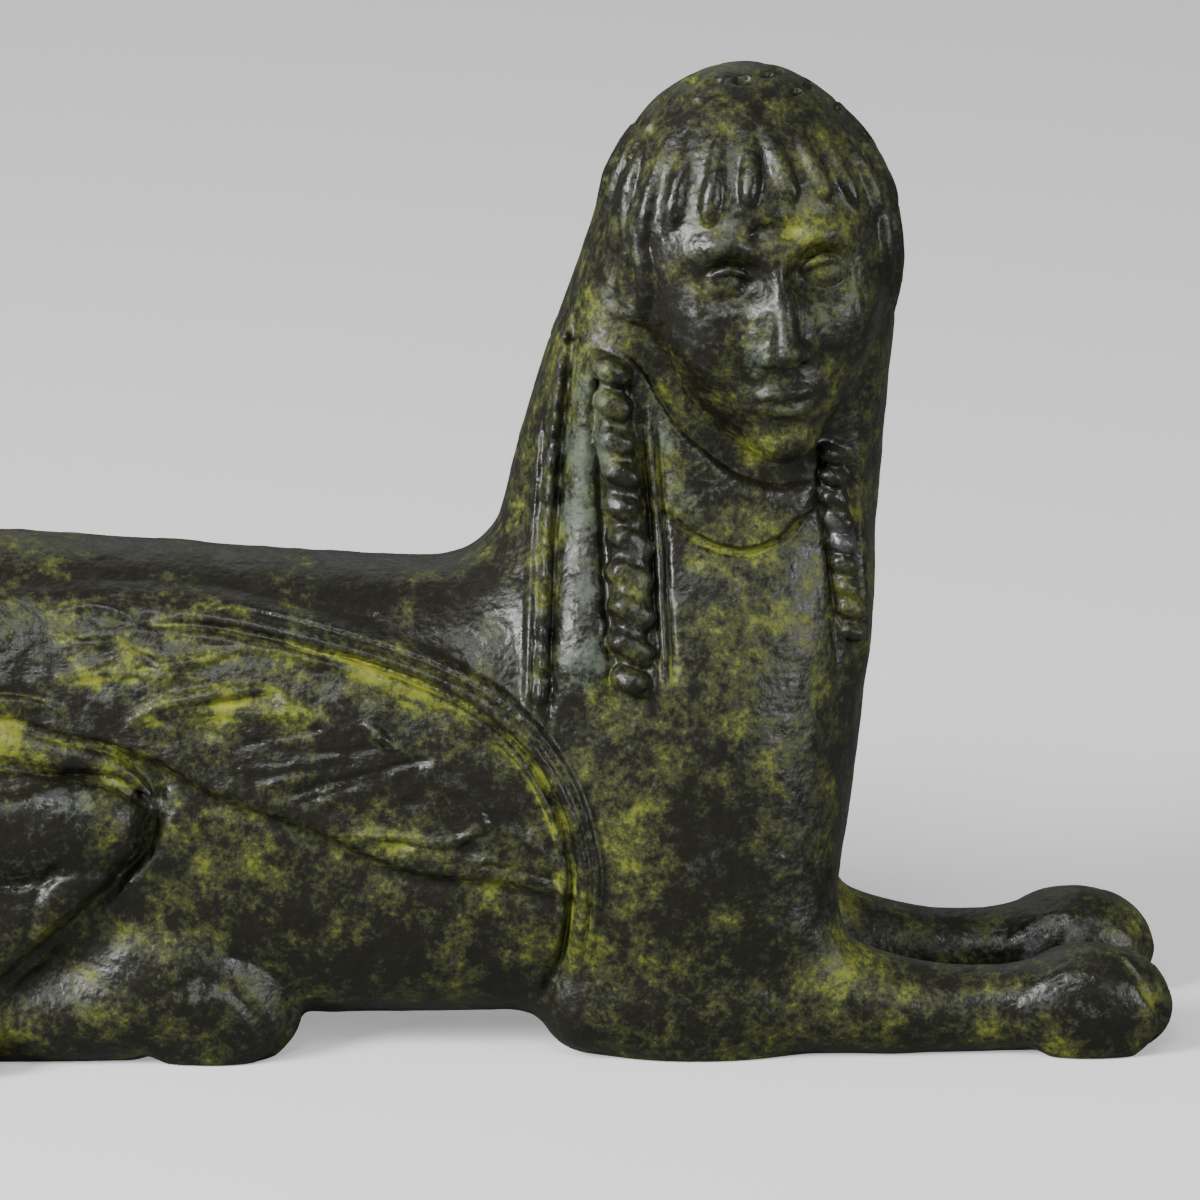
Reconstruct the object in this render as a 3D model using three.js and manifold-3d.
// Recumbent sphinx, cast in one piece in bronze, about as long as a hand.
//
// A winged lion lies with its forelegs stretched out in front. It carries a woman's head that is turned
// out over its right flank. Hair falls from the crown to the back and in plaits on the chest.
//
// Units are millimetres. +X runs from the rump to the forepaws, +Z is up, and the face looks towards -Y.
// The origin is under the middle of the casting, on the plane that the paws stand on.
import * as THREE from "three";
import { mergeVertices } from "three/addons/utils/BufferGeometryUtils.js";
import Module from "manifold-3d";

const wasm = await Module();
wasm.setup();

// ---- Driving dimensions ----
const LENGTH = 189; // rump to forepaws
const HEIGHT = 125; // floor to crown
const FLANK = 19.5; // half the body's width over the ribs
const BACK = 61; // height of the back behind the neck
const BELLY = 3.4; // clearance under the belly
const LEG_SPREAD = 12; // centre plane of each foreleg from the middle
const HIND_SPREAD = 12.8; // centre plane of each hind foot from the middle
const WING_RELIEF = 1.5; // how far a wing stands proud of the flank

// ---- The head's place and build ----
const HEAD = { x: 40, y: -1, z: HEIGHT - 24, turn: 9, tilt: 5 }; // turn and tilt in degrees
const SKULL = new THREE.Vector3(18.8, 19, 23.8);
const FACE = { halfWidth: 14.6, depth: 17.5, chin: -24.5 };

const SHORTEST_EDGE = 0.9; // shorter edges than this are closed up after joining
const RUMP = -LENGTH / 2;
const PAW_TIP = LENGTH / 2;
const SIDES = [-1, 1];
const UP = new THREE.Vector3(0, 0, 1);
const vec = (x, y, z) => new THREE.Vector3(x, y, z);

// ---- Solids from three.js geometries ----

/** Makes a solid of a closed geometry: only its merged positions are kept. */
function solid(geometry) {
  const bare = geometry.clone();
  for (const name of Object.keys(bare.attributes)) {
    if (name !== "position") bare.deleteAttribute(name);
  }
  const merged = mergeVertices(bare, 1e-4);
  return new wasm.Manifold(
    new wasm.Mesh({
      numProp: 3,
      vertProperties: merged.attributes.position.array,
      triVerts: Uint32Array.from(merged.index.array),
    }),
  );
}

/** A solid as a three.js geometry. */
function geometryOf(body) {
  const mesh = body.getMesh();
  const geometry = new THREE.BufferGeometry();
  geometry.setAttribute("position", new THREE.BufferAttribute(mesh.vertProperties, mesh.numProp));
  geometry.setIndex(new THREE.BufferAttribute(mesh.triVerts, 1));
  return geometry;
}

/** Joins a list of solids to one. */
const join = (forms) => forms.reduce((whole, form) => whole.add(form));

/** The outer shell of a solid, so that a pinprick of air sealed between joined forms is metal too. */
function outerShell(body) {
  return body.decompose().reduce((most, shell) => (shell.volume() > most.volume() ? shell : most));
}

/**
 * Collapses the short edges that joining leaves behind, one after another from the shortest, where the
 * surface stays closed and no face turns over. A point on the floor stays on the floor.
 */
function withoutShortEdges(geometry, shortest) {
  const MOST_TURN = 0.5; // cosine between a face's normals before and after
  const points = [];
  for (let i = 0; i < geometry.attributes.position.count; i++) {
    points.push(new THREE.Vector3().fromBufferAttribute(geometry.attributes.position, i));
  }
  const faces = [];
  const around = points.map(() => new Set());
  for (let i = 0; i < geometry.index.count; i += 3) {
    const face = [0, 1, 2].map((corner) => geometry.index.getX(i + corner));
    for (const v of face) around[v].add(faces.length);
    faces.push(face);
  }
  const neighbours = (v) => new Set([...around[v]].flatMap((f) => faces[f]).filter((other) => other !== v));
  const normal = ([a, b, c]) => points[b].clone().sub(points[a]).cross(points[c].clone().sub(points[a]));
  const edges = faces
    .flatMap(([a, b, c]) => [[a, b], [b, c], [c, a]])
    .filter(([a, b]) => a < b)
    .map(([a, b]) => ({ a, b, length: points[a].distanceTo(points[b]) }))
    .filter((edge) => edge.length < shortest)
    .sort((one, other) => one.length - other.length);
  for (const { a, b } of edges) {
    const beyond = neighbours(b);
    if (!beyond.has(a) || points[a].distanceTo(points[b]) >= shortest) continue;
    const shared = [...neighbours(a)].filter((v) => beyond.has(v));
    if (shared.length !== 2) continue;
    const [was, gone] = [points[a].clone(), points[b].clone()];
    const touched = [...new Set([...around[a], ...around[b]])].filter(
      (f) => !(faces[f].includes(a) && faces[f].includes(b)),
    );
    const before = touched.map((f) => normal(faces[f]).normalize());
    const onFloor = [was, gone].filter((p) => p.z === 0);
    const middle = onFloor.length === 1 ? onFloor[0].clone() : was.clone().add(gone).multiplyScalar(0.5);
    points[a].copy(middle);
    points[b].copy(middle);
    if (touched.some((f, i) => normal(faces[f]).normalize().dot(before[i]) < MOST_TURN)) {
      points[a].copy(was);
      points[b].copy(gone);
      continue;
    }
    for (const f of [...around[b]]) {
      if (faces[f].includes(a)) {
        for (const v of faces[f]) around[v].delete(f);
        faces[f] = null;
      } else {
        faces[f] = faces[f].map((v) => (v === b ? a : v));
        around[a].add(f);
      }
    }
    around[b].clear();
  }
  const kept = faces.filter((face) => face);
  const cleaned = new THREE.BufferGeometry().setFromPoints(kept.flat().map((v) => points[v]));
  const merged = mergeVertices(cleaned, 1e-5);
  merged.computeVertexNormals();
  return merged;
}

/** Moves every vertex of a geometry with bend(vertex), and returns the geometry. */
function reshape(geometry, bend) {
  const place = geometry.attributes.position;
  const point = new THREE.Vector3();
  for (let i = 0; i < place.count; i++) {
    point.fromBufferAttribute(place, i);
    bend(point);
    place.setXYZ(i, point.x, point.y, point.z);
  }
  return geometry;
}

/** Smooth values between the rows of a table. Each row starts with where it stands. */
function stations(rows) {
  const columns = rows[0].length - 1;
  const at = rows.map((row) => row[0]);
  const curve = new THREE.CubicInterpolant(at, rows.flatMap((row) => row.slice(1)), columns);
  const [first, last] = [at[0], at[at.length - 1]];
  return { first, last, read: (where) => Array.from(curve.evaluate(where)) };
}

/** An ellipsoid of the given radii, turned about Y by pitch in degrees. */
function ellipsoid(centre, radii, { pitch = 0, around = 12, down = 8 } = {}) {
  const ball = new THREE.SphereGeometry(1, around, down);
  ball.rotateX(Math.PI / 2);
  ball.scale(radii.x, radii.y, radii.z);
  ball.rotateY(THREE.MathUtils.degToRad(pitch));
  ball.translate(centre.x, centre.y, centre.z);
  return solid(ball);
}

/**
 * A round-ended limb along a smooth line through points. Its radii are spread evenly along the line,
 * and its section is scaled by wide across the line.
 */
function limb(points, radii, { wide = 1, around = 8, along = 6, cap = 2, up = UP } = {}) {
  const line = new THREE.CatmullRomCurve3(points);
  const radius = stations(radii.map((r, i) => [i / (radii.length - 1), r]));
  const tube = new THREE.CapsuleGeometry(1, 1, cap, around, along);
  return solid(
    reshape(tube, (p) => {
      const t = THREE.MathUtils.clamp(p.y + 0.5, 0, 1);
      const past = p.y + 0.5 - t;
      const forward = line.getTangentAt(t);
      const across = forward.clone().cross(up).normalize();
      const over = across.clone().cross(forward);
      const [r] = radius.read(t);
      const [sideways, upwards] = [p.x * r * wide, p.z * r];
      p.copy(line.getPointAt(t));
      p.addScaledVector(forward, past * r);
      p.addScaledVector(across, sideways);
      p.addScaledVector(over, upwards);
    }),
  );
}

/** Points of a rounded box outline: power 2 is an ellipse, and more is squarer. */
function rounded(angle, power) {
  const round = (value) => Math.sign(value) * Math.abs(value) ** (2 / power);
  return [round(Math.cos(angle)), round(Math.sin(angle))];
}

/** How wide such an outline is, from 0 to 1, at share of its height from the middle. */
const widthAt = (share, power) => (1 - Math.min(1, Math.abs(share)) ** power) ** (1 / power);

// ---- Body ----

/** The barrel of the body. Each row: x, underside, back, half width. */
const TORSO = stations([
  [RUMP + 0.4, 26, 40, 3],
  [-91, 14, 53, 13],
  [-82, 6, 60.5, 18.5],
  [-66, BELLY, 65.4, FLANK + 0.5],
  [-38, BELLY, 63.8, FLANK],
  [-8, BELLY, 61.6, FLANK],
  [14, BELLY, BACK, FLANK],
  [34, 2, BACK - 1, FLANK],
  [46, 3, 50, 15],
  [50, 10, 36, 7],
]);
const TORSO_POWER = (rise) => (rise > 0 ? 2.3 : 4); // round over the back, squarer under the belly

/** The barrel of the body from rump to chest. */
function torso() {
  const barrel = new THREE.CylinderGeometry(1, 1, 1, 20, 20);
  return solid(
    reshape(barrel, (p) => {
      const x = THREE.MathUtils.mapLinear(p.y, -0.5, 0.5, TORSO.first, TORSO.last);
      const [low, high, half] = TORSO.read(x);
      const size = Math.hypot(p.x, p.z);
      const [side, rise] = rounded(Math.atan2(p.z, p.x), TORSO_POWER(p.z));
      p.set(x, -side * half * size, (low + high) / 2 + (rise * (high - low) * size) / 2);
    }),
  );
}

/** Half the body's width at x and z. */
function flank(x, z) {
  const [low, high, half] = TORSO.read(x);
  const rise = (2 * z - low - high) / (high - low);
  return half * widthAt(rise, TORSO_POWER(rise));
}

/** Chest, neck and the fall of hair. Each row: height, rear x, front x, near y, far y. */
const BUST = stations([
  [-1, 18, 49, -17, 17],
  [17, 17, 51.2, -19.5, 19.5],
  [32, 12, 53.2, -20, 20],
  [47, 6, 55, -19.5, 20],
  [59, 3.4, 56, -17.5, 19],
  [66, 7.6, 56.2, -14, 18],
  [76, 10.5, 57, -12.5, 17.5],
  [88, 14.3, 57.9, -13.5, 18],
  [100, 18.4, 58.6, -14, 19],
  [108, 21.2, 58.2, -14, 18.5],
  [116, 25.6, 54, -12, 15.5],
  [122, 31.4, 48.4, -8, 9],
]);
const BUST_POWER = 2.4; // squareness of the column's section

/** The column of chest, neck and hair. */
function bust() {
  const column = new THREE.CylinderGeometry(1, 1, 1, 22, 22);
  return solid(
    reshape(column, (p) => {
      const z = THREE.MathUtils.mapLinear(p.y, -0.5, 0.5, BUST.first, BUST.last);
      const [rear, front, near, far] = BUST.read(z);
      const size = Math.hypot(p.x, p.z);
      const [fore, side] = rounded(Math.atan2(p.z, p.x), BUST_POWER);
      const x = (rear + front) / 2 + (fore * (front - rear) * size) / 2;
      p.set(x, (near + far) / 2 - (side * (far - near) * size) / 2, z);
    }),
  );
}

/** The point of the column's near side at x and z, lifted off it by lift. */
function onBust(x, z, lift = 0) {
  const [rear, front, near, far] = BUST.read(z);
  const bulge = widthAt((2 * x - rear - front) / (front - rear), BUST_POWER);
  return vec(x, (near + far) / 2 - (bulge * (far - near)) / 2 - lift, z);
}

/** One foreleg: shoulder, forearm along the floor, and a paw with four toes. */
function foreleg(side) {
  const y = side * LEG_SPREAD;
  const shoulder = ellipsoid(vec(33, side * 13.2, 25), vec(17, 7, 25), { around: 16 });
  const forearm = limb(
    [vec(21, side * 12.6, 6.4), vec(42, y, 6.2), vec(60, y, 5), vec(74, y, 5), vec(PAW_TIP - 8, y, 6.4)],
    [7.2, 6.8, 5.7, 5.5, 7.1],
    { wide: 0.98, around: 12, along: 10 },
  );
  const web = limb([vec(44, y, 17), vec(50, y, 10), vec(60, y, 6)], [6.5, 5.4, 4.4], { along: 4 });
  return [shoulder, forearm, web, ...toes(PAW_TIP, y, side)];
}

/** Four toes side by side on a low arc, whose foremost point is at tip. */
function toes(tip, y, side) {
  const TOES = 4;
  const TOE_PITCH = 3.1;
  const radii = vec(6, 2.1, 5.6);
  return Array.from({ length: TOES }, (_, i) => {
    const off = (i - (TOES - 1) / 2) * TOE_PITCH;
    const back = (Math.abs(off) * 0.35) ** 2;
    const lift = 0.03 * off ** 2;
    return ellipsoid(vec(tip - radii.x - back, y + side * off, 5.5 + lift), radii, { around: 6, down: 6 });
  });
}

/** One hind leg: haunch, knee, shank and a foot that lies flat, with four toes. */
function hindLeg(side) {
  const TOE_TIP = -17;
  const y = side * HIND_SPREAD;
  const haunch = ellipsoid(vec(-66, side * 13, 31), vec(26, 11, 26), { pitch: 12, around: 16, down: 12 });
  const knee = ellipsoid(vec(-47, side * 17.5, 32), vec(12.4, 6, 10), { pitch: -8 });
  const shin = [vec(-44, side * 19, 28), vec(-56, side * 18.5, 16), vec(-70, side * 17, 8)];
  const shank = limb(shin, [7, 6.5, 7]);
  const foot = limb(
    [vec(-74, y, 7), vec(-56, y, 7.2), vec(-38, y, 7.9), vec(TOE_TIP - 7.4, y, 6.4)],
    [7.6, 7.8, 8.3, 7],
    { around: 12 },
  );
  return [haunch, knee, shank, foot, ...toes(TOE_TIP, y, side)];
}

/** The tail: down the rump and forward along the floor on the right side, with a tuft at its end. */
function tail() {
  const down = [vec(-88, 0, 52), vec(-90.6, -5, 34), vec(-88.5, -11, 14)];
  const forward = [vec(-78, -19.4, 5), vec(-64, -23, 4.2)];
  return limb([...down, ...forward], [3.6, 3.4, 3.4, 3.4, 3.8], { along: 12 });
}

// ---- Wings ----

/** A wing's leading edge in the side view, from the foot of the shoulder up and back to the tip. */
const leadingEdge = new THREE.SplineCurve(
  [
    [19, 17],
    [19.4, 28],
    [16.2, 38],
    [9, 47],
    [-4, 53.8],
    [-22, 58.4],
    [-42, 60.2],
    [-62, 60],
    [-80, 54],
  ].map(([x, z]) => new THREE.Vector2(x, z)),
);

/** The wing's lower edge, from its tip back to the shoulder. */
const lowerEdge = new THREE.SplineCurve(
  [
    [-80, 54],
    [-72, 49],
    [-52, 44],
    [-34, 39],
    [-17, 33],
    [-2, 27.4],
    [8, 23.6],
    [19, 17],
  ].map(([x, z]) => new THREE.Vector2(x, z)),
);

/** One wing's web: a skin wrapped over the flank between the leading edge and the lower edge. */
function wingWeb(side) {
  const ROOT = 5; // how deep the skin is sunk in the body
  const skin = new THREE.BoxGeometry(1, 1, 1, 16, 1, 6);
  return solid(
    reshape(skin, (p) => {
      const along = 0.5 - p.x;
      const place = lowerEdge.getPoint(1 - along).lerp(leadingEdge.getPoint(along), p.z + 0.5);
      const proud = p.y * side > 0 ? WING_RELIEF : -ROOT;
      p.set(place.x, side * (flank(place.x, place.y) + proud), place.y);
    }),
  );
}

/** A rounded ridge that follows a line of the side view over one wing. */
function ridge(side, line, radii, options) {
  const STEPS = 10;
  const lift = WING_RELIEF - 0.5;
  const points = line.getPoints(STEPS).map((p) => vec(p.x, side * (flank(p.x, p.y) + lift), p.y));
  return limb(points, radii, { up: vec(0, 1, 0), ...options });
}

/** One wing: the thick leading edge and the feathers, in two rows of long ones under a row of coverts. */
function wing(side) {
  const edge = ridge(side, leadingEdge, [1.6, 1.9, 1.9, 1.7, 1.5, 1.2], { around: 6, along: 18, cap: 1 });
  const FEATHERS = 7;
  const feathers = Array.from({ length: FEATHERS }, (_, i) => {
    const share = (i + 1) / (FEATHERS + 1);
    const root = leadingEdge.getPoint(0.12 + 0.34 * share);
    const tip = lowerEdge.getPoint(0.9 - 0.82 * share);
    root.x -= 6;
    root.y -= 2;
    tip.y += 1;
    const bow = new THREE.Vector2(0, 2.6 * Math.sin(Math.PI * share));
    const middle = root.clone().lerp(tip, 0.5).add(bow);
    const shaft = new THREE.SplineCurve([root, middle, tip]);
    return ridge(side, shaft, [1, 1.5, 1.2], { around: 5, along: 4, cap: 1 });
  });
  return [wingWeb(side), edge, ...feathers];
}

// ---- Hair ----

/** A plait that hangs along a route: crossed lobes, each turned against the last. */
function plait(points, radius) {
  const line = new THREE.CatmullRomCurve3(points);
  const lobes = Math.round(line.getLength() / (radius * 1.15));
  const lobe = vec(radius * 0.72, radius * 0.72, radius * 1.25);
  return Array.from({ length: lobes }, (_, i) => {
    const sway = i % 2 ? 1 : -1;
    const at = line.getPointAt((i + 0.5) / lobes).add(vec(sway * radius * 0.34, 0, 0));
    return ellipsoid(at, lobe, { pitch: sway * 38, around: 6, down: 5 });
  });
}

/** What hangs beside the neck: the edge of the loose hair, a smooth tress and two plaits. */
function tresses() {
  const hanging = (places, lift) => places.map(([x, z]) => onBust(x, z, lift));
  const looseEdge = limb(hanging([[18.4, 96], [16, 80], [14, 65], [13.2, 48]], -1.2), [1.6, 2.4, 2.8, 1.6]);
  const tress = limb(hanging([[21, 94], [19.6, 80], [18.4, 62], [17.4, 47]], -1.4), [2, 2.8, 3, 1.8]);
  const rear = plait(hanging([[22, 88], [23, 78], [24.4, 66], [25.4, 49]], -0.4), 2.8);
  const front = plait(hanging([[48, 75], [49.4, 65], [50.6, 52]], -0.4), 2.4);
  return [looseEdge, tress, ...rear, ...front];
}

/** The fringe: pointed locks side by side over the forehead, in the head's own frame. */
function fringe() {
  const LOCKS = 9;
  const SPREAD = 2.4; // radians from the first lock round to the last
  const reach = (z) => SKULL.x * Math.sqrt(1 - (z / SKULL.z) ** 2) - 0.6;
  return Array.from({ length: LOCKS }, (_, i) => {
    const around = (i / (LOCKS - 1) - 0.5) * SPREAD;
    const on = (z) => vec(Math.sin(around) * reach(z), -Math.cos(around) * reach(z), z);
    return limb([on(19), on(14), on(8)], [1.2, 2, 1.2], { around: 6, along: 2, cap: 1 });
  });
}

// ---- Head ----

/** The head in its own frame: face towards -Y, with its middle at the origin. */
function head() {
  const skull = ellipsoid(vec(0, 1, 0.6), SKULL, { around: 20, down: 14 });
  const faceRadii = vec(FACE.halfWidth, FACE.depth - 3.6, -FACE.chin - 5.4);
  const mask = ellipsoid(vec(0, -4.4, -5), faceRadii, { around: 18, down: 14 });
  const chin = ellipsoid(vec(0, -14, FACE.chin + 5), vec(5, 3.8, 4));
  const NOSE_BASE = -12;
  const EYE_LINE = -1.4;
  const EYE = { x: 6, halfWidth: 3.4 };
  const noseLine = [vec(0, -16.4, 0), vec(0, -18, -6), vec(0, -19.6, NOSE_BASE + 1.6)];
  const nose = limb(noseLine, [1.5, 1.6, 2.1]);
  const lips = [-15.2, -17.6].map((z) => {
    const bow = [vec(-4.2, -15.4, z + 0.5), vec(0, -17.6, z), vec(4.2, -15.4, z + 0.5)];
    return limb(bow, [0.7, 1.3, 0.7], { around: 6 });
  });
  const pairs = SIDES.flatMap((side) => [
    ellipsoid(vec(side * EYE.x, -14.2, EYE_LINE), vec(EYE.halfWidth, 2.6, 1.9), { around: 8, down: 6 }),
    limb(
      [vec(side * 1.8, -16.4, 1.4), vec(side * 6.2, -16, 3), vec(side * 11, -12.6, 1.6)],
      [1.1, 1.3, 0.9],
      { around: 6 },
    ),
    ellipsoid(vec(side * 2, -17.8, NOSE_BASE + 1), vec(1.3, 1.8, 1.4), { around: 6, down: 5 }),
    ellipsoid(vec(side * 7, -10.4, -8), vec(5.6, 5, 7)),
  ]);
  return [skull, mask, chin, nose, ...lips, ...pairs, ...fringe()];
}

/** The head's frame placed on the neck: leaned towards the chest, then turned. */
function headPlace() {
  const lean = new THREE.Matrix4().makeRotationY(THREE.MathUtils.degToRad(-HEAD.tilt));
  const turn = new THREE.Matrix4().makeRotationZ(THREE.MathUtils.degToRad(HEAD.turn));
  return new THREE.Matrix4().makeTranslation(HEAD.x, HEAD.y, HEAD.z).multiply(turn).multiply(lean);
}

// ---- The casting ----

/** Everything below the standing plane, which is ground off flat. */
function floorCut() {
  const DEPTH = 40;
  return solid(new THREE.BoxGeometry(2 * LENGTH, LENGTH, DEPTH).translate(0, 0, -DEPTH / 2));
}

/** Joins all the forms to one solid. */
function cast() {
  const legs = SIDES.flatMap((side) => [...foreleg(side), ...hindLeg(side)]);
  const wings = SIDES.flatMap((side) => wing(side));
  const face = solid(geometryOf(join(head())).applyMatrix4(headPlace()));
  const whole = join([torso(), bust(), tail(), ...legs, ...wings, ...tresses(), face]).subtract(floorCut());
  return outerShell(whole);
}

const bronze = new THREE.MeshStandardMaterial({ color: 0x34372a, roughness: 0.5, metalness: 0.6 });
const sphinx = new THREE.Mesh(withoutShortEdges(geometryOf(cast()), SHORTEST_EDGE), bronze);
sphinx.name = "sphinx";

const group = new THREE.Group();
group.add(sphinx);

export default group;
